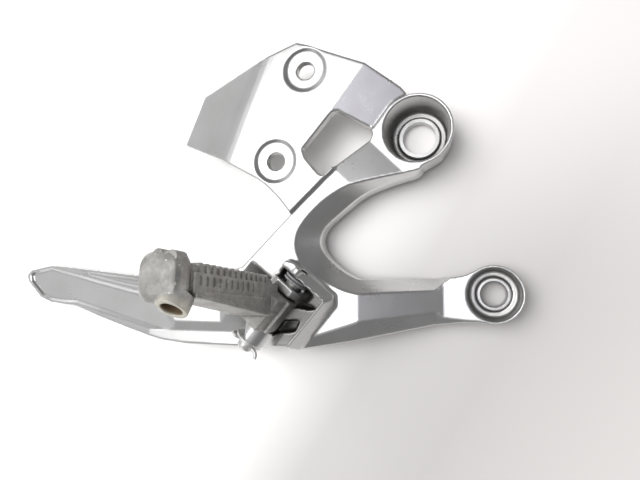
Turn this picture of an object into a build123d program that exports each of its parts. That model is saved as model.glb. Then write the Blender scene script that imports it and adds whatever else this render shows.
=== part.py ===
from build123d import *
from math import sin, cos, tan, radians, pi
import os

os.makedirs("parts", exist_ok=True)

# Footrest hanger with a folding footpeg. Millimetres.
# Origin: axis of the big boss, on the back plane. +Z out of the front face.

# ---- heights above the back plane ----
Z_PLATE = 32.0        # front of the holed plate
T_PLATE = 6.5         # its thickness
Z_ARM = 29.5          # front of the arms round the clevis
Z_ARM_BACK = 8.0      # back of the arms
Z_U_WALL = 18.5       # where the U opening's bevel starts
Z_BOSS = 25.5         # rim of the big boss
Z_EYE = 15.0          # rim of the eye
Z_BLADE = 22.0        # face of the blade at its root
Z_STRIP = 20.2        # strip along its lower edge

# ---- big boss ----
R_BOSS_OUT = 18.4
R_BOSS_BACK = 16.8
R_BOSS_CB = 16.6
R_BOSS_SEAT = 14.3
Z_BOSS_SEAT = 5.5
R_BOSS_BORE = 11.0
R_BOSS_COLLAR = 8.75

# ---- eye ----
EYE = (35.7, -82.6)
R_EYE_OUT = 14.6
R_EYE_CB = 13.2
R_EYE_SEAT = 11.2
Z_EYE_SEAT = 8.0
R_EYE_BORE = 8.4
R_EYE_COLLAR = 6.1

# ---- two bolt holes in the plate ----
HOLE_1 = (-56.4, 33.8)
HOLE_2 = (-72.5, -13.5)
R_SPOT = 11.0
D_SPOT = 1.6
R_HOLE = 4.5

# ---- clevis: a runs along the pin, u square to it ----
PIN_C = (-74.3, -91.7)
PIN_DEG = 50.0
Z_PIN = 30.0
R_PIN = 4.0
R_LUG = 8.5
A_LO = (-18.4, -7.5)      # lower ear
A_HI = (23.0, 28.2)       # wall past the upper ear
A_EAR = (12.7, 17.6)      # upper ear
U_BACK = 23.7             # foot of the back wall
U_CREST = 18.4            # its inner edge
Z_CREST = 37.5
Z_FLOOR = 20.0            # floor under the tongue, at its high side
FLOOR_FALL = 0.19         # fall of that floor for each mm

# ---- footpeg ----
A_TONGUE = (-7.1, 12.3)
R_TONGUE = 7.6
PEG_A = 4.25              # where the bar's line meets the pin
PEG_LEAN = 7.6            # back from square to the pin, degrees
PEG_LEN = 82.0            # pin to the end boss
PEG_X = (-9.0, 6.5)       # the bar's two sides
PEG_END_C = (-4.1, 7.1)
PEG_END_W = 19.0
PEG_END_H = 19.2
FEELER = (0.9, 1.0)
TOOTH_PITCH = 4.5
N_TEETH = 13
N_SLOTS = 10

ax, ay = cos(radians(PIN_DEG)), sin(radians(PIN_DEG))      # along the pin
ux, uy = ay, -ax                                           # square to it


def au(a, u):
    """Plan point from clevis coordinates."""
    return (PIN_C[0] + a * ax + u * ux, PIN_C[1] + a * ay + u * uy)


def pin_plane(a, z=Z_PIN):
    """Plane across the pin at a: local x = u, local y = Z, normal = +a."""
    p = au(a, 0)
    return Plane(origin=(p[0], p[1], z), x_dir=(-ux, -uy, 0), z_dir=(ax, ay, 0))


def floor_z(u):
    """Height of the channel's floor."""
    return Z_FLOOR - FLOOR_FALL * (u + 9.5)


# ------------------------------------------------------------------ hanger
BEND_DEG = 18.0
BEND_R = 38.0
bx, by = -0.929, 0.371
bt = radians(BEND_DEG)
with BuildPart() as plate:
    # plan of the holed plate
    with BuildSketch(Plane.XY):
        with BuildLine():
            Polyline((-64.5, -41.1), (-45.9, -23.4), (-41.0, -19.0), (-41.1, 12.5), (-24.5, 34.1),
                     (-43.7, 42.2), (-55.1, 47.3), (-61.1, 49.2), (-119.3, 28.9), (-131.4, 1.3),
                     (-103.8, -10.9), (-83.5, -21.9))
            Spline((-83.5, -21.9), (-76.0, -27.6), (-64.5, -41.1), tangents=[(20, -11), (13, -19)])
        make_face()
    extrude(amount=45)
    # constant thickness, bent back at the left
    n = 52.0
    o = (BEND_R * sin(bt), Z_PLATE - BEND_R * (1 - cos(bt)))
    i = ((BEND_R - T_PLATE) * sin(bt), Z_PLATE - BEND_R + (BEND_R - T_PLATE) * cos(bt))
    with BuildSketch(Plane(origin=(-85.6, 10.7, 0), x_dir=(bx, by, 0), z_dir=(by, -bx, 0))):
        with BuildLine():
            l1 = Line((-90, Z_PLATE), (0, Z_PLATE))
            l2 = RadiusArc((0, Z_PLATE), o, BEND_R)
            l3 = Line(o, (o[0] + n * cos(bt), o[1] - n * sin(bt)))
            l4 = Line(l3 @ 1, (i[0] + n * cos(bt), i[1] - n * sin(bt)))
            l5 = Line(l4 @ 1, i)
            l6 = RadiusArc(i, (0, Z_PLATE - T_PLATE), -(BEND_R - T_PLATE))
            l7 = Line((0, Z_PLATE - T_PLATE), (-90, Z_PLATE - T_PLATE))
            l8 = Line((-90, Z_PLATE - T_PLATE), (-90, Z_PLATE))
        make_face()
    extrude(amount=90, both=True, mode=Mode.INTERSECT)

# panel that falls from the plate to the boss
LINK_DEG = 19.0
with BuildPart() as link:
    with BuildSketch(Plane.XY):
        with BuildLine():
            Polyline((-27.0, 35.15), (-24.5, 34.1), (-7.6, 22.6), (-3.7, 18.2), (0, 5), (-12, -10), (-26, -6),
                     (-44, 10), (-42, 16), close=True)
        make_face()
    extrude(amount=45)
    with BuildSketch(Plane(origin=(-24.5, 33.9, 0), x_dir=(0.786, -0.618, 0), z_dir=(-0.618, -0.786, 0))):
        with BuildLine():
            drop = 40 * tan(radians(LINK_DEG))
            Polyline((-8, Z_PLATE), (0, Z_PLATE), (40, Z_PLATE - drop), (40, Z_PLATE - drop - T_PLATE - 0.4),
                     (-0.5, Z_PLATE - T_PLATE), (-8, Z_PLATE - T_PLATE), close=True)
        make_face()
    extrude(amount=80, both=True, mode=Mode.INTERSECT)

# upper arm and the body round the clevis
with BuildPart() as arm:
    with BuildSketch(Plane.XY.offset(Z_ARM_BACK)):
        with BuildLine():
            Polyline((-22.3, 2.0), (-23.1, -3.6), (-41.0, -17.3), (-48.5, -21.0), (-65.0, -37.5), (-64.6, -41.2),
                     (-92.1, -68.7), (-92.1, -111.6), (-84.0, -111.7), (-58.5, -110.8),
                     (-40.4, -107.6), (-31.0, -105.9), (-31.0, -45.0), (2.0, -20.3), (0, 0), close=True)
        make_face()
    extrude(amount=30)
    # front falls to the boss along the arm
    with BuildSketch(Plane(origin=(0, 0, 0), x_dir=(0.71, 0.704, 0), z_dir=(0.704, -0.71, 0))):
        with BuildLine():
            Polyline((-230, 0), (-230, Z_ARM), (-42.8, Z_ARM), (-20.0, Z_BOSS), (60, Z_BOSS), (60, 0), close=True)
        make_face()
        fillet(vertices().filter_by(lambda v: abs(v.Z - Z_ARM) < 0.01 and abs(v.Y) < 60 and abs(v.X) < 60), 3)
    extrude(amount=160, both=True, mode=Mode.INTERSECT)

# lower arm, falling to the eye
X_TOP, X_BOT = -29.5, 11.5
with BuildPart() as low:
    with BuildSketch(Plane.XY):
        with BuildLine():
            Polyline((-32.0, -74.0), (2.0, -74.9), (13.2, -74.3), (20.1, -73.6), (23.5, -72.4), (27.3, -70.6),
                     (35.7, -82.6), (35.7, -97.1), (28.0, -96.6), (20.0, -96.9), (7.0, -98.3), (-31.0, -105.9),
                     (-32.0, -106.1), close=True)
        make_face()
    extrude(amount=45)
    with BuildSketch(Plane(origin=(0, 0, 0), x_dir=(1, 0, 0), z_dir=(0, -1, 0))) as prof:
        with BuildLine():
            Polyline((-60, Z_ARM), (X_TOP, Z_ARM), (X_BOT, Z_EYE), (60, Z_EYE), (60, 0), (11.0, 0), (-36.0, Z_ARM_BACK),
                     (-60, Z_ARM_BACK), close=True)
        make_face()
        fillet(prof.vertices().filter_by(lambda v: abs(v.Z - Z_ARM) < 0.01 and v.X > -40), 12)
        fillet(prof.vertices().filter_by(lambda v: abs(v.Z - Z_EYE) < 0.01 and v.X < 40), 12)
    extrude(amount=130, both=True, mode=Mode.INTERSECT)

# U opening with its wide bevel: wall line at Z_U_WALL, front line at Z_ARM
front_pts = [(8.0, -19.2), (-6.9, -21.2), (-20.5, -23.9), (-34.0, -27.6), (-50.6, -37.7), (-56.9, -44.2),
             (-61.2, -50.8), (-62.4, -57.0), (-61.0, -63.2), (-57.2, -68.9), (-51.5, -73.2), (-44.0, -77.4),
             (-37.0, -80.6), (-31.0, -82.2)]
wall_pts = [(8.0, -20.6), (-8.8, -24.4), (-18.5, -27.3), (-28.2, -31.3), (-37.6, -38.2), (-46.6, -45.8),
            (-50.2, -50.4), (-51.2, -55.2), (-49.2, -61.2), (-44.7, -66.4), (-38.6, -71.2), (-31.0, -75.0)]
with BuildPart() as u_cut:
    with BuildSketch(Plane.XY.offset(Z_U_WALL)) as s_wall:
        with BuildLine():
            Spline(*wall_pts)
            Polyline(wall_pts[-1], (-31.0, -45), (8, -45), wall_pts[0])
        make_face()
    with BuildSketch(Plane.XY.offset(Z_ARM)) as s_front:
        with BuildLine():
            Spline(*front_pts)
            Polyline(front_pts[-1], (-31.0, -45), (8, -45), front_pts[0])
        make_face()
    loft(ruled=True)
    extrude(s_front.sketch, amount=20)
    extrude(s_wall.sketch, amount=-Z_U_WALL - 4)


def bevel_section(x, y_wall, z_wall, y_top, z_top, y_far):
    """Section of a bevel cutter on the plane X = x."""
    with BuildSketch(Plane(origin=(x, 0, 0), x_dir=(0, 1, 0), z_dir=(1, 0, 0))) as s:
        with BuildLine():
            Polyline((y_wall, -2), (y_wall, z_wall), (y_top, z_top), (2 * y_top - y_wall, 2 * z_top - z_wall),
                     (y_far, 2 * z_top - z_wall), (y_far, -2), close=True)
        make_face()
    return s.sketch


with BuildPart() as bevel_in:
    loft([bevel_section(-31.2, -75.0, Z_U_WALL, -82.2, Z_ARM, -60),
          bevel_section(7.5, -75.0, 3.0, -80.6, 16.5, -60),
          bevel_section(14.5, -74.2, 13.0, -74.6, 15.1, -60)], ruled=True)
with BuildPart() as bevel_out:
    loft([bevel_section(-110.0, -120.0, 26.0, -118.0, Z_ARM, -150),
          bevel_section(-57.6, -111.4, 25.8, -105.8, Z_ARM, -150),
          bevel_section(-30.0, -105.8, 23.6, -96.6, Z_ARM, -150),
          bevel_section(7.5, -98.2, 12.2, -91.5, 16.5, -150),
          bevel_section(20.0, -96.9, 13.6, -95.3, Z_EYE, -150),
          bevel_section(33.0, -97.3, 14.0, -96.2, Z_EYE, -150)], ruled=True)

# the blade's face tilts down to its tip
BLADE_FACE = Plane(origin=(-140.0, 0, Z_BLADE), x_dir=(118.0, 0, 16.7), z_dir=(-16.7, 0, 118.0))
# its two hollows, each as an outline at the face and one at the floor
WEB_RIM = [(-253.2, -73.0), (-250.8, -70.7), (-234.6, -68.0), (-228.0, -69.2), (-195.4, -75.2), (-171.6, -79.8),
           (-151.4, -83.2), (-139.5, -93.5), (-131.5, -103.0), (-141.6, -106.0), (-174.9, -98.8), (-211.6, -90.4),
           (-223.0, -89.8), (-234.4, -88.5), (-241.8, -85.6), (-252.2, -76.8)]
WEB_FLOOR = [(-252.2, -73.0), (-250.0, -71.5), (-234.4, -69.1), (-228.0, -70.6), (-195.4, -78.0), (-171.6, -82.7),
             (-151.6, -86.3), (-141.5, -95.0), (-136.0, -102.0), (-142.6, -103.2), (-174.9, -96.0), (-211.6, -87.9),
             (-223.0, -88.2), (-233.8, -87.2), (-241.0, -84.8), (-251.2, -76.6)]
TOP_RIM = [(-220.0, -68.9), (-164.0, -74.0), (-141.0, -73.8), (-141.0, -84.6), (-150.0, -82.2), (-172.0, -78.6),
           (-196.0, -74.0)]
TOP_FLOOR = [(-210.0, -70.7), (-164.0, -76.4), (-143.0, -76.2), (-143.0, -83.0), (-150.0, -81.0), (-172.0, -77.6),
             (-196.0, -73.2)]

with BuildPart() as hanger:
    add(plate.part)
    add(link.part)
    # boss: tapered cup with a pointed web
    with BuildSketch(Plane.XY) as b0:
        Circle(R_BOSS_BACK)
    with BuildSketch(Plane.XY.offset(Z_BOSS)) as b1:
        Circle(R_BOSS_OUT)
    loft()
    with BuildSketch(Plane.XY.offset(Z_ARM_BACK + 1)):
        with BuildLine():
            Polyline((-14.4, 11.4), (-22.3, 0.9), (-22.3, -4.3), (-8.9, -24.3), (-0.2, -20.7), (12.6, -13.4), (0, 0),
                     close=True)
        make_face()
    extrude(amount=Z_BOSS - Z_ARM_BACK - 1)
    add(arm.part)
    add(low.part)
    # eye
    with BuildSketch(Plane.XY):
        with Locations(EYE):
            Circle(R_EYE_OUT)
    extrude(amount=Z_EYE)
    add(u_cut.part, mode=Mode.SUBTRACT)
    add(bevel_in.part, mode=Mode.SUBTRACT)
    add(bevel_out.part, mode=Mode.SUBTRACT)
    # window
    with BuildSketch(Plane.XY):
        with BuildLine():
            Polyline((-39.2, 10.9), (-23.6, 2.6), (-22.3, -1.2), (-23.2, -3.9), (-41.0, -17.3), (-46.3, -22.4),
                     (-48.9, -21.3), (-56.0, -12.6), (-57.6, -7.9), (-42.0, 10.2), close=True)
        make_face()
    extrude(amount=60, mode=Mode.SUBTRACT)
    # blade that runs back from the clevis, falling to its tip
    with BuildSketch(Plane.XY):
        with BuildLine():
            Polyline((-80.0, -66.0), (-92.1, -68.7), (-164.3, -72.7), (-225.7, -66.9), (-234.6, -66.6), (-252.0, -69.4), (-255.5, -72.7),
                     (-254.0, -77.0), (-242.5, -86.8), (-233.4, -89.9), (-222.6, -91.0), (-211.4, -91.9),
                     (-190.5, -98.1), (-167.0, -104.3), (-145.0, -109.6), (-130.0, -111.1), (-84.0, -111.7), close=True)
        make_face()
    blade = extrude(amount=Z_ARM, mode=Mode.PRIVATE)
    with BuildSketch(Plane.XZ):
        with BuildLine():
            Polyline((-258.0, 5.3), (-140.0, Z_BLADE), (-107.0, Z_BLADE), (-94.0, Z_ARM), (-80.0, Z_ARM),
                     (-80.0, 9.0), (-104.0, 12.0), (-140.0, 14.0), (-250.0, 0.0), (-258.0, 0.0), close=True)
        make_face()
    side = extrude(amount=150, mode=Mode.PRIVATE)
    add(blade.intersect(side))
    # raised walls of the clevis: one across the pin's end, one along its back
    with BuildSketch(Plane.XY.offset(Z_ARM_BACK)):
        with BuildLine():
            Polyline(au(A_HI[0], -9.5), au(A_HI[1] - 2, -9.5), au(A_HI[1], -5), au(A_HI[1], U_BACK - 3.5),
                     au(A_HI[1] - 3.5, U_BACK), au(-5.5, U_BACK), au(-6.5, U_CREST - 1), au(A_HI[0], U_CREST - 1), close=True)
        make_face()
    extrude(amount=Z_CREST - Z_ARM_BACK)
    with BuildSketch(pin_plane(A_HI[0])):
        Circle(8.3)
        with Locations((0, -10)):
            Rectangle(16.6, 20)
    extrude(amount=4)
    # lower ear
    with BuildSketch(pin_plane(A_LO[0])):
        Circle(R_LUG)
        with Locations((0, -9)):
            Rectangle(2 * R_LUG, 18)
    extrude(amount=A_LO[1] - A_LO[0])
    # fork channel: its floor falls towards the back wall
    for a0, a1, u0 in ((A_LO[1], A_HI[0], -9.5), (-30.0, A_LO[1], R_LUG)):
        with BuildSketch(pin_plane(a0)):
            with BuildLine():
                Polyline((-u0, floor_z(u0) - Z_PIN), (-U_CREST, floor_z(U_CREST) - Z_PIN), (-U_CREST, 30), (-u0, 30),
                         close=True)
            make_face()
        extrude(amount=a1 - a0, mode=Mode.SUBTRACT)
    # slope that clears the bar as it folds up
    with BuildSketch(pin_plane(A_LO[1])):
        with BuildLine():
            Polyline((9.0, -9.0), (9.0, 12.0), (28.0, 12.0), (28.0, 0.5), close=True)
        make_face()
    extrude(amount=20.2, mode=Mode.SUBTRACT)
    # upper ear, with a flat that runs on beside the peg's heel
    with BuildSketch(pin_plane(A_EAR[0])):
        with BuildLine():
            Polyline((-R_LUG, Z_ARM_BACK + 2 - Z_PIN), (-R_LUG, 3.0), (-4.0, R_LUG), (6.0, R_LUG), (9.4, 7.0),
                     (9.4, Z_ARM_BACK + 2 - Z_PIN), close=True)
        make_face()
    extrude(amount=A_EAR[1] - A_EAR[0])
    # two deeper pockets in that floor
    with BuildSketch(Plane.XY.offset(Z_ARM_BACK + 1.6)):
        with BuildLine():
            Polyline((-74.0, -97.1), (-63.8, -96.9), (-66.6, -103.3), (-79.1, -104.2), close=True)
        make_face()
        with BuildLine():
            Polyline((-74.6, -81.0), (-62.8, -86.7), (-53.9, -90.8), (-59.4, -91.4), (-71.8, -88.4), close=True)
        make_face()
    extrude(amount=21.5, mode=Mode.SUBTRACT)
    # recess round the pin's open end
    with BuildSketch(Plane.XY.offset(Z_PIN - 9.0)):
        with BuildLine():
            Polyline(au(A_LO[0], -10), au(A_LO[0], 16), au(-34, 16), au(-34, -10), close=True)
        make_face()
    extrude(amount=40, mode=Mode.SUBTRACT)
    # slope and low strip along the blade's lower edge
    with BuildSketch(Plane(origin=(-158.0, 0, 0), x_dir=(0, 1, 0), z_dir=(1, 0, 0))):
        with BuildLine():
            Polyline((-93.3, 40.0), (-93.3, 24.2), (-98.6, Z_BLADE), (-103.6, Z_STRIP), (-118.0, Z_STRIP), (-118.0, 40.0),
                     close=True)
        make_face()
    extrude(amount=72, mode=Mode.SUBTRACT)
    # outer bevel of the raised walls
    with BuildSketch(Plane(origin=(*au(0, U_BACK), Z_CREST), x_dir=(ux, uy, 0), z_dir=(-ax, -ay, 0))):
        with BuildLine():
            Polyline((-4.7, 0), (0.1, -7.5), (4, -7.5), (4, 1), (-4.7, 1), close=True)
        make_face()
    extrude(amount=60, both=True, mode=Mode.SUBTRACT)
    with BuildSketch(Plane(origin=(*au(A_HI[1], 0), Z_CREST), x_dir=(ax, ay, 0), z_dir=(ux, uy, 0))):
        with BuildLine():
            Polyline((-5.3, 0), (0.1, -5.4), (4, -5.4), (4, 1), (-5.3, 1), close=True)
        make_face()
    extrude(amount=26, mode=Mode.SUBTRACT)
    # pin bore through both ears
    with BuildSketch(pin_plane(-40)):
        Circle(R_PIN + 0.05)
    extrude(amount=67.5, mode=Mode.SUBTRACT)
    # boss cup and bore
    with BuildSketch(Plane.XY.offset(Z_BOSS_SEAT)) as c0:
        Circle(R_BOSS_SEAT)
    with BuildSketch(Plane.XY.offset(Z_BOSS)) as c1:
        Circle(R_BOSS_CB)
    loft(mode=Mode.SUBTRACT)
    with BuildSketch(Plane.XY.offset(Z_BOSS)):
        Circle(R_BOSS_CB)
    extrude(amount=20, mode=Mode.SUBTRACT)
    with BuildSketch(Plane.XY):
        Circle(R_BOSS_BORE)
    extrude(amount=Z_BOSS_SEAT, mode=Mode.SUBTRACT)
    # eye cup and bore
    with BuildSketch(Plane.XY.offset(Z_EYE_SEAT)) as e0:
        with Locations(EYE):
            Circle(R_EYE_SEAT + 0.6)
    with BuildSketch(Plane.XY.offset(Z_EYE)) as e1:
        with Locations(EYE):
            Circle(R_EYE_CB)
    loft(mode=Mode.SUBTRACT)
    with BuildSketch(Plane.XY.offset(Z_EYE)):
        with Locations(EYE):
            Circle(R_EYE_CB)
    extrude(amount=20, mode=Mode.SUBTRACT)
    with BuildSketch(Plane.XY):
        with Locations(EYE):
            Circle(R_EYE_BORE)
    extrude(amount=Z_EYE_SEAT, mode=Mode.SUBTRACT)
    # bolt holes with spot faces
    with BuildSketch(Plane.XY.offset(Z_PLATE - D_SPOT)):
        with Locations(HOLE_1, HOLE_2):
            Circle(R_SPOT)
    extrude(amount=20, mode=Mode.SUBTRACT)
    with BuildSketch(Plane.XY):
        with Locations(HOLE_1, HOLE_2):
            Circle(R_HOLE)
    extrude(amount=60, mode=Mode.SUBTRACT)
    # hollows of the blade's face, with sloped sides
    for rim, floor, deep in ((WEB_RIM, WEB_FLOOR, 1.7), (TOP_RIM, TOP_FLOOR, 1.2)):
        with BuildSketch(BLADE_FACE):
            Polygon(*[(q[0] + 140.0, q[1]) for q in rim], align=None)
        with BuildSketch(BLADE_FACE.offset(-deep)):
            Polygon(*[(q[0] + 140.0, q[1]) for q in floor], align=None)
        loft(ruled=True, mode=Mode.SUBTRACT)
hanger.part.label = "hanger"
export_step(hanger.part, "parts/hanger.step")

# ------------------------------------------------------------------ collars
with BuildPart() as boss_collar:
    with BuildSketch(Plane.XY):
        Circle(R_BOSS_BORE)
        Circle(R_BOSS_COLLAR, mode=Mode.SUBTRACT)
    extrude(amount=Z_BOSS_SEAT + 1.2)
    chamfer(boss_collar.edges().group_by(Axis.Z)[-1].sort_by(SortBy.RADIUS)[-1], 0.5)
boss_collar.part.label = "boss_collar"
export_step(boss_collar.part, "parts/boss_collar.step")

with BuildPart() as eye_collar:
    with BuildSketch(Plane.XY):
        with Locations(EYE):
            Circle(R_EYE_BORE)
            Circle(R_EYE_COLLAR, mode=Mode.SUBTRACT)
    extrude(amount=Z_EYE_SEAT + 1.5)
    chamfer(eye_collar.edges().group_by(Axis.Z)[-1], 0.6)
eye_collar.part.label = "eye_collar"
export_step(eye_collar.part, "parts/eye_collar.step")

# ------------------------------------------------------------------ footpeg
lean = radians(PEG_LEAN)
w = Vector(-sin(lean) * ux, -sin(lean) * uy, cos(lean))      # along the bar
root = Vector(*au(PEG_A, 0), Z_PIN)
peg_x = (Vector(1, 0, 0) - w * w.X).normalized()
peg_y = w.cross(peg_x)


def peg_plane(d):
    """Plane across the bar at d from the pin's axis: local y is the tread side."""
    return Plane(origin=root + w * d, x_dir=peg_x, z_dir=w)


def side_plane(x):
    """Plane along the bar: local x runs along it, local y towards the tread, normal = +x of the bar."""
    return Plane(origin=root + peg_x * x, x_dir=-w, z_dir=peg_x)


with BuildPart() as footpeg:
    # tongue on the pin
    with BuildSketch(pin_plane(A_TONGUE[0])):
        Circle(R_TONGUE)
        with Locations((0, 6)):
            Rectangle(2 * R_TONGUE, 12)
    extrude(amount=A_TONGUE[1] - A_TONGUE[0])
    # root between the tongue and the bar
    with BuildSketch(Plane(origin=root + w * 4, x_dir=(ax, ay, 0), z_dir=w)):
        with BuildLine():
            Polyline((A_TONGUE[0] - PEG_A, -R_TONGUE), (A_TONGUE[1] - PEG_A, -R_TONGUE), (A_TONGUE[1] - PEG_A, 2.0),
                     (A_TONGUE[1] - PEG_A - 5.0, R_TONGUE), (A_TONGUE[0] - PEG_A, R_TONGUE), close=True)
        make_face()
    extrude(amount=16.0, taper=2)
    # bar, deeper towards the root
    with BuildSketch(side_plane(PEG_X[0])):
        with BuildLine():
            Polyline((-13.0, 9.5), (-PEG_LEN, 9.5), (-PEG_LEN, 1.4), (-20.0, -4.8), (-13.0, -5.2), close=True)
        make_face()
    extrude(amount=PEG_X[1] - PEG_X[0])
    # flange along its lower edge
    with BuildSketch(side_plane(PEG_X[0] - 1.2)):
        with BuildLine():
            Polyline((-22.0, -4.0), (-PEG_LEN, 1.7), (-PEG_LEN, 0.1), (-22.0, -5.8), close=True)
        make_face()
    extrude(amount=PEG_X[1] - PEG_X[0] + 2.4)
    # tread: a core with a rib every pitch
    with BuildSketch(side_plane(PEG_X[0] + 1.3)):
        with BuildLine():
            Polyline((-17.0, 9.0), (-PEG_LEN, 9.0), (-PEG_LEN, 12.4), (-21.0, 12.4), (-17.0, 11.4), close=True)
        make_face()
    extrude(amount=PEG_X[1] - PEG_X[0] - 2.6)
    for k in range(N_TEETH):
        with BuildSketch(side_plane(PEG_X[0] + 0.5)):
            with BuildLine():
                d = 22.0 + TOOTH_PITCH * k
                Polyline((-d, 9.0), (-d, 12.6), (-d - 0.6, 13.4), (-d - 1.8, 13.4), (-d - 2.4, 12.6), (-d - 2.4, 9.0),
                         close=True)
            make_face()
        extrude(amount=PEG_X[1] - PEG_X[0] - 1.0)
    # slots in both sides, one to a rib
    for k in range(N_SLOTS):
        for x, out in ((PEG_X[1], 1), (PEG_X[0], -1)):
            with BuildSketch(side_plane(x + 0.5 * out)):
                with Locations((-(37.6 + TOOTH_PITCH * k), 6.4)):
                    SlotOverall(3.8, 1.7, rotation=90)
            extrude(amount=-1.2 * out, mode=Mode.SUBTRACT)
    # groove under the slots
    for x, out in ((PEG_X[1], 1), (PEG_X[0], -1)):
        with BuildSketch(side_plane(x + 0.5 * out)):
            with BuildLine():
                Polyline((-26.0, 3.0), (-74.0, 3.0), (-74.0, 2.4), (-26.0, 2.4), close=True)
            make_face()
        extrude(amount=-1.0 * out, mode=Mode.SUBTRACT)
    # end boss, with two lumps on its top
    for d, dw, dh in ((-1.5, 4.0, 3.0), (1.0, 0.6, 0.4), (3.6, 0.0, 0.0), (6.4, 0.8, 0.8), (8.0, 3.0, 3.0), (8.7, 6.0, 6.0)):
        with BuildSketch(peg_plane(PEG_LEN + d)):
            with Locations(PEG_END_C):
                RectangleRounded(PEG_END_W - dw, PEG_END_H - dh, 5.2)
    loft(ruled=True)
    with BuildSketch(peg_plane(PEG_LEN + 1.0)):
        with Locations((PEG_END_C[0] - 0.6, PEG_END_C[1] + PEG_END_H / 2 - 1.7),
                       (PEG_END_C[0] + 5.4, PEG_END_C[1] + PEG_END_H / 2 - 2.3)):
            Circle(2.5)
    extrude(amount=6.6)
    # lug for the feeler, open at its end
    feel = root + w * (PEG_LEN + 1.5) + peg_x * FEELER[0] + peg_y * FEELER[1]
    with BuildSketch(Plane(origin=feel, x_dir=peg_x, z_dir=(-0.095, -0.826, 0.557))):
        Circle(6.1)
    extrude(amount=6.5)
    with BuildSketch(Plane(origin=feel, x_dir=peg_x, z_dir=(-0.095, -0.826, 0.557))):
        Circle(4.2)
    extrude(amount=8.0, mode=Mode.SUBTRACT)
    # pin bore
    with BuildSketch(pin_plane(-40)):
        Circle(R_PIN + 0.05)
    extrude(amount=80, mode=Mode.SUBTRACT)
footpeg.part.label = "footpeg"
export_step(footpeg.part, "parts/footpeg.step")

# ------------------------------------------------------------------ pin, washer, split pin, spring
A_PIN = (-24.6, 27.0)
A_SPLIT = -22.0
with BuildPart() as pivot_pin:
    with BuildSketch(pin_plane(A_PIN[0])):
        Circle(R_PIN)
    extrude(amount=A_PIN[1] - A_PIN[0])
    chamfer(pivot_pin.edges().filter_by(GeomType.CIRCLE), 0.6)
    with BuildSketch(Plane(origin=(*au(A_SPLIT, 0), Z_PIN), x_dir=(ax, ay, 0), z_dir=(ux, uy, 0))):
        Circle(1.15)
    extrude(amount=10, both=True, mode=Mode.SUBTRACT)
pivot_pin.part.label = "pivot_pin"
export_step(pivot_pin.part, "parts/pivot_pin.step")

with BuildPart() as pin_washer:
    with BuildSketch(pin_plane(A_LO[0] - 1.3)):
        Circle(7.6)
        Circle(R_PIN + 0.15, mode=Mode.SUBTRACT)
    extrude(amount=1.2)
pin_washer.part.label = "pin_washer"
export_step(pin_washer.part, "parts/pin_washer.step")

with BuildPart() as split_pin:
    p0, p1 = Vector(*au(A_SPLIT, -5.4), Z_PIN), Vector(*au(A_SPLIT, 5.2), Z_PIN)
    p2 = Vector(*au(A_SPLIT - 2.6, 8.6), Z_PIN + 0.8)
    with BuildLine():
        Line(p0, p1)
        TangentArc(p1, p2, tangent=(ux, uy, 0))
    with BuildSketch(Plane(origin=p0, x_dir=(ax, ay, 0), z_dir=(ux, uy, 0))):
        Circle(0.95)
    sweep()
    with Locations(pin_plane(A_SPLIT) * Location((7.2, 0, 0))):
        Torus(2.0, 0.9)
split_pin.part.label = "split_pin"
export_step(split_pin.part, "parts/split_pin.step")

SPRING_A = (17.8, 22.8)
with BuildPart() as return_spring:
    with BuildLine() as coil:
        Helix(pitch=1.7, height=SPRING_A[1] - SPRING_A[0] - 1.6, radius=5.9,
              center=(*au(SPRING_A[0] + 0.8, 0), Z_PIN), direction=(ax, ay, 0))
    with BuildSketch(Plane(origin=coil.line @ 0, z_dir=coil.line % 0)):
        Circle(0.75)
    sweep(is_frenet=True)
return_spring.part.label = "return_spring"
export_step(return_spring.part, "parts/return_spring.step")
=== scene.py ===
import bpy
from mathutils import Matrix, Vector
from mathutils.bvhtree import BVHTree


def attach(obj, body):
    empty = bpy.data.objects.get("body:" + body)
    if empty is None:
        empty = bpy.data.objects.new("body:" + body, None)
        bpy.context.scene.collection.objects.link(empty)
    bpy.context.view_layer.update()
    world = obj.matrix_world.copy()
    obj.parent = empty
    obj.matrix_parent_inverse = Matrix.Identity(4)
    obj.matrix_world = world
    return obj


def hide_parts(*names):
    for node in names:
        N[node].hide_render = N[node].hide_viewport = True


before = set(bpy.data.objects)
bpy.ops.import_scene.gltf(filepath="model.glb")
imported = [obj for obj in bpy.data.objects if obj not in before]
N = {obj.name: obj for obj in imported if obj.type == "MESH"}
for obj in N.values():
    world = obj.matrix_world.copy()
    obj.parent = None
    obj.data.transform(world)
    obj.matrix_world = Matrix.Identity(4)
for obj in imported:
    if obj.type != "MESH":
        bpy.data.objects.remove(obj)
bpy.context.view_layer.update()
MM = 0.001


# ---------------------------------------------------------------- materials
def new_mat(name):
    m = bpy.data.materials.new(name)
    m.use_nodes = True
    nt = m.node_tree
    for n in list(nt.nodes):
        nt.nodes.remove(n)
    out = nt.nodes.new("ShaderNodeOutputMaterial")
    bsdf = nt.nodes.new("ShaderNodeBsdfPrincipled")
    nt.links.new(bsdf.outputs[0], out.inputs[0])
    return m, nt, bsdf


def coords(nt):
    return nt.nodes.new("ShaderNodeTexCoord").outputs["Object"]


def noise(nt, vec, scale, detail=4.0, rough=0.55, dist=0.0):
    n = nt.nodes.new("ShaderNodeTexNoise")
    n.inputs["Scale"].default_value = scale
    n.inputs["Detail"].default_value = detail
    n.inputs["Roughness"].default_value = rough
    n.inputs["Distortion"].default_value = dist
    nt.links.new(vec, n.inputs["Vector"])
    return n.outputs["Fac"]


def ramp(nt, fac, stops):
    r = nt.nodes.new("ShaderNodeValToRGB")
    e = r.color_ramp.elements
    while len(e) < len(stops):
        e.new(0.5)
    for el, (p, c) in zip(e, stops):
        el.position = p
        el.color = (*c, 1.0) if len(c) == 3 else c
    nt.links.new(fac, r.inputs["Fac"])
    return r.outputs["Color"]


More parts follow.
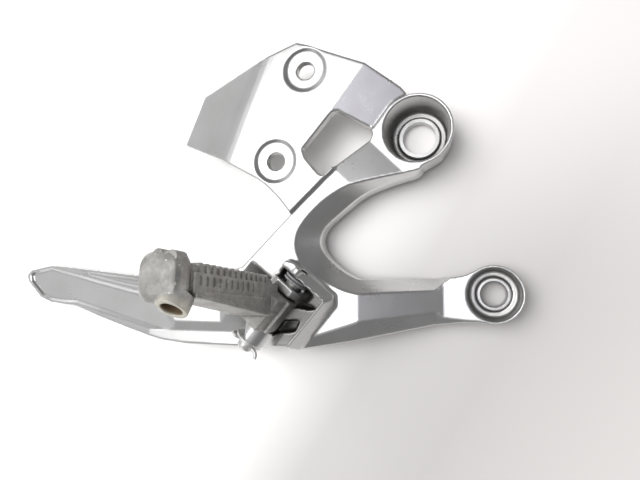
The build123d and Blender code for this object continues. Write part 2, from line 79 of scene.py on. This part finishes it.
def mix(nt, fac, a, b, mode="MIX"):
    n = nt.nodes.new("ShaderNodeMix")
    n.data_type = "RGBA"
    n.blend_type = mode
    for sock, v in ((n.inputs["Factor"], fac), (n.inputs["A"], a), (n.inputs["B"], b)):
        if isinstance(v, (int, float)):
            sock.default_value = v
        elif isinstance(v, tuple):
            sock.default_value = (*v, 1.0)
        else:
            nt.links.new(v, sock)
    return n.outputs["Result"]


def maths(nt, op, a, b=0.0, clamp=False):
    n = nt.nodes.new("ShaderNodeMath")
    n.operation = op
    n.use_clamp = clamp
    for sock, v in ((n.inputs[0], a), (n.inputs[1], b)):
        if isinstance(v, (int, float)):
            sock.default_value = v
        else:
            nt.links.new(v, sock)
    return n.outputs[0]


def bump(nt, bsdf, height, strength, distance):
    b = nt.nodes.new("ShaderNodeBump")
    b.inputs["Strength"].default_value = strength
    b.inputs["Distance"].default_value = distance
    nt.links.new(height, b.inputs["Height"])
    nt.links.new(b.outputs[0], bsdf.inputs["Normal"])
    return b


def set_v(bsdf, **kw):
    for k, v in kw.items():
        s = bsdf.inputs[k.replace("_", " ")]
        s.default_value = (*v, 1.0) if isinstance(v, tuple) and len(v) == 3 and s.type == "RGBA" else v


def cavity(nt, distance):
    """1 in the open, falling to 0 deep in a hollow."""
    n = nt.nodes.new("ShaderNodeAmbientOcclusion")
    n.samples = 8
    n.inputs["Distance"].default_value = distance
    return n.outputs["AO"]


def to_range(nt, fac, lo, hi):
    n = nt.nodes.new("ShaderNodeMapRange")
    nt.links.new(fac, n.inputs["Value"])
    n.inputs["To Min"].default_value = lo
    n.inputs["To Max"].default_value = hi
    return n.outputs["Result"]


# silver coating of the hanger: satin, a fine metallic grain, duller patches, painted shade darkening the hollows
coat, nt, b = new_mat("silver_coating")
v = coords(nt)
base = ramp(nt, noise(nt, v, 30.0, 5, 0.6), [(0.3, (0.61, 0.61, 0.605)), (0.7, (0.70, 0.70, 0.70))])
base = mix(nt, ramp(nt, noise(nt, v, 2600.0, 2, 0.5), [(0.35, (0, 0, 0)), (0.75, (0.13, 0.13, 0.13))]), base, (0.86, 0.86, 0.87))
# painted shade: the base colour is darkened where ambient occlusion finds a hollow
hollow_shade = ramp(nt, cavity(nt, 0.030), [(0.18, (0.46, 0.455, 0.445)), (0.50, (0.62, 0.615, 0.605)), (0.82, (1, 1, 1))])
base = mix(nt, 1.0, base, hollow_shade, "MULTIPLY")
nt.links.new(base, b.inputs["Base Color"])
set_v(b, Metallic=0.97)
nt.links.new(to_range(nt, noise(nt, v, 70.0, 6, 0.7), 0.22, 0.36), b.inputs["Roughness"])
bump(nt, b, noise(nt, v, 1500.0, 3, 0.6), 0.08, 0.00015)

# uncoated casting of the footpeg: grey, dull, with brown darkening in its corners and bright worn edges
raw, nt, b = new_mat("raw_casting")
v = coords(nt)
g = ramp(nt, noise(nt, v, 150.0, 7, 0.72), [(0.25, (0.20, 0.193, 0.182)), (0.5, (0.355, 0.347, 0.332)), (0.78, (0.55, 0.54, 0.522))])
worn = nt.nodes.new("ShaderNodeNewGeometry").outputs["Pointiness"]
g = mix(nt, ramp(nt, worn, [(0.53, (0, 0, 0)), (0.62, (0.75, 0.75, 0.75))]), g, (0.72, 0.715, 0.70))
# the colour is darkened towards brown where ambient occlusion finds a corner
hollow_darkening = ramp(nt, cavity(nt, 0.004), [(0.08, (0.13, 0.10, 0.075)), (0.45, (0.50, 0.475, 0.44)), (0.82, (1, 1, 1))])
g = mix(nt, 1.0, g, hollow_darkening, "MULTIPLY")


def away(nt, v, point):
    """Distance from a point, in centimetres."""
    n = nt.nodes.new("ShaderNodeVectorMath")
    n.operation = "DISTANCE"
    nt.links.new(v, n.inputs[0])
    n.inputs[1].default_value = point
    return maths(nt, "MULTIPLY", n.outputs["Value"], 100.0)


g = mix(nt, ramp(nt, away(nt, v, (-0.07975, -0.08571, 0.11639)), [(0.60, (0.55, 0.55, 0.55)), (0.72, (0, 0, 0))]), g, (0.74, 0.71, 0.60))
g = mix(nt, ramp(nt, away(nt, v, (-0.07937, -0.08241, 0.11416)), [(0.50, (0.85, 0.85, 0.85)), (0.57, (0, 0, 0))]), g, (0.20, 0.125, 0.055))
nt.links.new(g, b.inputs["Base Color"])
set_v(b, Metallic=0.72)
nt.links.new(to_range(nt, noise(nt, v, 220.0, 5, 0.7), 0.34, 0.60), b.inputs["Roughness"])
bump(nt, b, noise(nt, v, 700.0, 6, 0.75), 0.26, 0.0004)

# turned steel collars: fine circular marks and painted shade at the joint
def turned(name, cx, cy, grey):
    m, nt, b = new_mat(name)
    v = coords(nt)
    sh = nt.nodes.new("ShaderNodeVectorMath")
    sh.operation = "SUBTRACT"
    nt.links.new(v, sh.inputs[0])
    sh.inputs[1].default_value = (cx, cy, 0.0)
    sep = nt.nodes.new("ShaderNodeSeparateXYZ")
    nt.links.new(sh.outputs[0], sep.inputs[0])
    rr = maths(nt, "SQRT", maths(nt, "ADD", maths(nt, "MULTIPLY", sep.outputs["X"], sep.outputs["X"]),
                                 maths(nt, "MULTIPLY", sep.outputs["Y"], sep.outputs["Y"])))
    ring = maths(nt, "SINE", maths(nt, "MULTIPLY", rr, 26000.0))
    fine = maths(nt, "ADD", maths(nt, "MULTIPLY", ring, 0.5), noise(nt, v, 420.0, 5, 0.7))
    col = ramp(nt, noise(nt, v, 160.0, 5, 0.7), [(0.3, tuple(0.72 * c for c in grey)), (0.7, grey)])
    # painted shade: the colour is darkened in the joint where ambient occlusion finds a hollow
    hollow_darkening = ramp(nt, cavity(nt, 0.003), [(0.15, (0.35, 0.33, 0.30)), (0.6, (1, 1, 1))])
    nt.links.new(mix(nt, 1.0, col, hollow_darkening, "MULTIPLY"), b.inputs["Base Color"])
    set_v(b, Metallic=0.92)
    nt.links.new(to_range(nt, noise(nt, v, 300.0, 4, 0.6), 0.26, 0.42), b.inputs["Roughness"])
    bump(nt, b, fine, 0.06, 0.0001)
    return m


collar = turned("collar_steel", 0.0, 0.0, (0.62, 0.62, 0.62))
eye_steel = turned("eye_collar_steel", 0.0357, -0.0826, (0.62, 0.62, 0.62))

# bright plating on the pin, washer and split pin, with dull spots
plated, nt, b = new_mat("plated_steel")
v = coords(nt)
g = ramp(nt, noise(nt, v, 380.0, 6, 0.75), [(0.32, (0.36, 0.35, 0.335)), (0.5, (0.62, 0.62, 0.61)), (0.75, (0.80, 0.80, 0.80))])
# painted shade: the colour is darkened in the hollows between pin, washer and split pin
hollow_darkening = ramp(nt, cavity(nt, 0.0025), [(0.15, (0.52, 0.49, 0.45)), (0.7, (1, 1, 1))])
nt.links.new(mix(nt, 1.0, g, hollow_darkening, "MULTIPLY"), b.inputs["Base Color"])
set_v(b, Metallic=0.75)
nt.links.new(to_range(nt, noise(nt, v, 500.0, 4, 0.6), 0.24, 0.48), b.inputs["Roughness"])

# oiled spring steel
spring_m, nt, b = new_mat("spring_steel")
v = coords(nt)
nt.links.new(ramp(nt, noise(nt, v, 600.0, 5, 0.7), [(0.3, (0.22, 0.22, 0.22)), (0.7, (0.45, 0.45, 0.455))]), b.inputs["Base Color"])
set_v(b, Metallic=0.6)
nt.links.new(to_range(nt, noise(nt, v, 700.0, 4, 0.6), 0.28, 0.45), b.inputs["Roughness"])


def set_mat(o, m):
    o.data.materials.clear()
    o.data.materials.append(m)


for node, m in (("hanger", coat), ("boss_collar", collar), ("eye_collar", eye_steel), ("footpeg", raw),
                ("pivot_pin", plated), ("pin_washer", plated), ("split_pin", plated), ("return_spring", spring_m)):
    for s in N[node].material_slots:
        s.material = m

# ---------------------------------------------------------------- rounded casting
def flatten(mesh, cad):
    """Puts the vertices of the large flat faces back on their exact planes."""
    def plane(pl):
        n = pl.normal
        return round(n.x, 2), round(n.y, 2), round(n.z, 2), round(n.dot(pl.center) * 1e4)
    total = {}
    for pl in cad.polygons:
        k = plane(pl)
        total[k] = total.get(k, 0.0) + pl.area
    big = [total[plane(pl)] > 1.0e-4 or (pl.area > 8.0e-6 and pl.normal.z > 0.3) for pl in cad.polygons]
    tree = BVHTree.FromPolygons([v.co for v in cad.vertices], [tuple(pl.vertices) for pl in cad.polygons])
    moves = []
    for v in mesh.vertices:
        loc, nor, idx, dist = tree.find_nearest(v.co)
        if big[idx] and dist < 0.0003:
            w = min(max((v.normal.dot(nor) - 0.965) / 0.025, 0.0), 1.0) if dist > 0.00007 else 1.0
            if w > 0.0:
                moves.append((v.index, v.co.lerp(loc, w)))
    for i, co in moves:
        mesh.vertices[i].co = co
    mesh.update()


def rounded(node, name, voxel, smooth, target, mat, body, flats=False):
    """A copy of a CAD node with the soft edges of a casting."""
    src = N[node]
    me = src.data.copy()
    o = bpy.data.objects.new(name, me)
    bpy.context.scene.collection.objects.link(o)
    for s in list(o.modifiers):
        o.modifiers.remove(s)
    m = o.modifiers.new("remesh", "REMESH")
    m.mode = "VOXEL"
    m.voxel_size = voxel
    m.adaptivity = 0.0
    dg = bpy.context.evaluated_depsgraph_get()
    dense = bpy.data.meshes.new_from_object(o.evaluated_get(dg))
    o.modifiers.clear()
    o.data = dense
    m = o.modifiers.new("smooth", "SMOOTH")
    m.factor = 0.5
    m.iterations = smooth
    tris = sum(len(p.vertices) - 2 for p in dense.polygons)
    if tris > target:
        m = o.modifiers.new("decimate", "DECIMATE")
        m.ratio = target / tris
    dg = bpy.context.evaluated_depsgraph_get()
    final = bpy.data.meshes.new_from_object(o.evaluated_get(dg))
    o.modifiers.clear()
    o.data = final
    if flats:
        flatten(final, me)
    for pl in final.polygons:
        pl.use_smooth = True
    set_mat(o, mat)
    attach(o, body)
    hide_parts(node)
    print(name, "triangles", tris, "->", sum(len(p.vertices) - 2 for p in final.polygons))
    return o


VOX = 0.00062
hanger = rounded("hanger", "hanger_cast", VOX, 6, 196000, coat, "casting", True)
peg = rounded("footpeg", "footpeg_cast", 0.0003, 4, 150000, raw, "peg")

# ---------------------------------------------------------------- camera
cam_d = bpy.data.cameras.new("camera")
cam = bpy.data.objects.new("camera", cam_d)
bpy.context.scene.collection.objects.link(cam)
cam_d.sensor_width = 36.0
cam_d.lens = 508.0 / 640.0 * 36.0
cam_d.clip_start = 0.01
cam_d.clip_end = 10.0
vd = Vector((-0.2643, 0.0726, -0.9617)).normalized()
rx = Vector((0.9642, 0.0, -0.265))
rx = (rx - vd * rx.dot(vd)).normalized()
up = rx.cross(vd).normalized()
cam.matrix_world = Matrix.Translation(Vector((19.6, -73.96, 278.0)) * MM) @ Matrix(
    ((rx.x, up.x, -vd.x), (rx.y, up.y, -vd.y), (rx.z, up.z, -vd.z))).to_4x4()
bpy.context.scene.camera = cam

# ---------------------------------------------------------------- floor and light
bpy.ops.mesh.primitive_plane_add(size=4.0, location=(0, 0, -0.0002))
floor = bpy.context.object
floor.name = "floor"
fm, nt, b = new_mat("floor_paper")
v = coords(nt)
sep = nt.nodes.new("ShaderNodeSeparateXYZ")
nt.links.new(v, sep.inputs[0])
# painted light: the paper's colour runs from white on the left to grey in the middle, a little lighter again at the
# right, standing in for the uneven light on it
xs = maths(nt, "MULTIPLY", sep.outputs["X"], 2.8)
ys = maths(nt, "MULTIPLY", sep.outputs["Y"], -1.7)
painted_falloff = ramp(nt, maths(nt, "ADD", maths(nt, "ADD", xs, ys), 0.32), [(0.10, (0.92, 0.92, 0.915)), (0.26, (0.80, 0.79, 0.78)),
                                                                  (0.44, (0.48, 0.468, 0.462)), (0.62, (0.44, 0.427, 0.421)),
                                                                  (1.0, (0.58, 0.556, 0.546))])
# painted light: the paper is made lighter towards the far side
far_painted_light = nt.nodes.new("ShaderNodeMapRange")
far_painted_light.interpolation_type = "SMOOTHSTEP"
nt.links.new(sep.outputs["Y"], far_painted_light.inputs["Value"])
far_painted_light.inputs["From Min"].default_value = -0.10
far_painted_light.inputs["From Max"].default_value = 0.06
far_painted_light.inputs["To Max"].default_value = 0.45
painted_falloff = mix(nt, far_painted_light.outputs["Result"], painted_falloff, (0.86, 0.83, 0.82))
# painted shade: the paper darkens towards the near side, far from the part
near_painted_shade = nt.nodes.new("ShaderNodeMapRange")
near_painted_shade.interpolation_type = "SMOOTHSTEP"
nt.links.new(sep.outputs["Y"], near_painted_shade.inputs["Value"])
near_painted_shade.inputs["From Min"].default_value = -0.85
near_painted_shade.inputs["From Max"].default_value = -0.26
near_painted_shade.inputs["To Min"].default_value = 0.42
near_painted_shade.inputs["To Max"].default_value = 1.0
nt.links.new(mix(nt, 1.0, painted_falloff, near_painted_shade.outputs["Result"], "MULTIPLY"), b.inputs["Base Color"])
set_v(b, Roughness=0.9)
set_mat(floor, fm)


def area(name, loc, target, size, size_y, power, colour=(1, 1, 1)):
    d = bpy.data.lights.new(name, "AREA")
    d.shape = "RECTANGLE"
    d.size = size
    d.size_y = size_y
    d.energy = power
    d.color = colour
    o = bpy.data.objects.new(name, d)
    bpy.context.scene.collection.objects.link(o)
    o.location = loc
    o.rotation_mode = "QUATERNION"
    o.rotation_quaternion = (Vector(target) - Vector(loc)).to_track_quat("-Z", "Y")
    return o


# overhead softbox, mirrored by the flat faces
area("key_a", (-0.80, 0.26, 2.0), (-0.80, 0.26, 0.0), 1.10, 1.43, 12.4)
area("key_b", (-0.065, 0.08, 2.0), (-0.065, 0.08, 0.0), 0.37, 1.06, 3.0)
# cool window at the right, mirrored by the sloping panel
area("window", (0.62, -0.12, 2.0), (0.62, -0.12, 0.0), 0.42, 0.8, 1.5, (0.90, 0.87, 1.0))
# lights the paper and the dull parts only
soft = area("soft", (-0.80, 0.35, 1.6), (-0.06, -0.03, 0.0), 1.3, 1.3, 25.0)
soft.visible_glossy = False
top = area("top", (-0.06, -0.02, 1.5), (-0.06, -0.02, 0.0), 0.7, 0.7, 8.0)
top.visible_glossy = False

world = bpy.data.worlds.new("world")
bpy.context.scene.world = world
world.use_nodes = True
nt = world.node_tree
sep = nt.nodes.new("ShaderNodeSeparateXYZ")
nt.links.new(nt.nodes.new("ShaderNodeTexCoord").outputs["Generated"], sep.inputs[0])
x, y, z = sep.outputs["X"], sep.outputs["Y"], sep.outputs["Z"]
terms = [maths(nt, "MULTIPLY", maths(nt, "MULTIPLY", maths(nt, "MAXIMUM", x, 0.0), maths(nt, "MAXIMUM", z, 0.0)), -0.95),
         maths(nt, "MULTIPLY", maths(nt, "MINIMUM", x, 0.0), -0.14),
         maths(nt, "MULTIPLY", maths(nt, "MULTIPLY", maths(nt, "MINIMUM", y, 0.0), maths(nt, "SUBTRACT", 1.0, z, True)), 0.85),
         maths(nt, "MULTIPLY", maths(nt, "MAXIMUM", y, 0.0), -0.42)]
grey = 0.58
for term in terms:
    grey = maths(nt, "ADD", term, grey)
grey = maths(nt, "MAXIMUM", grey, 0.20)
# a bright strip low on the left
edge = maths(nt, "ADD", maths(nt, "MULTIPLY", maths(nt, "ABSOLUTE", y), 1.1), -0.30)
strip = maths(nt, "MULTIPLY", maths(nt, "ADD", maths(nt, "MULTIPLY", x, -4.0), -1.7, True),
              maths(nt, "MULTIPLY", maths(nt, "SUBTRACT", edge, z), 10.0, True))
grey = maths(nt, "ADD", grey, maths(nt, "MULTIPLY", strip, 1.1))
nt.links.new(grey, nt.nodes["Background"].inputs[0])
nt.nodes["Background"].inputs[1].default_value = 1.0
bpy.context.scene.view_settings.view_transform = "Standard"
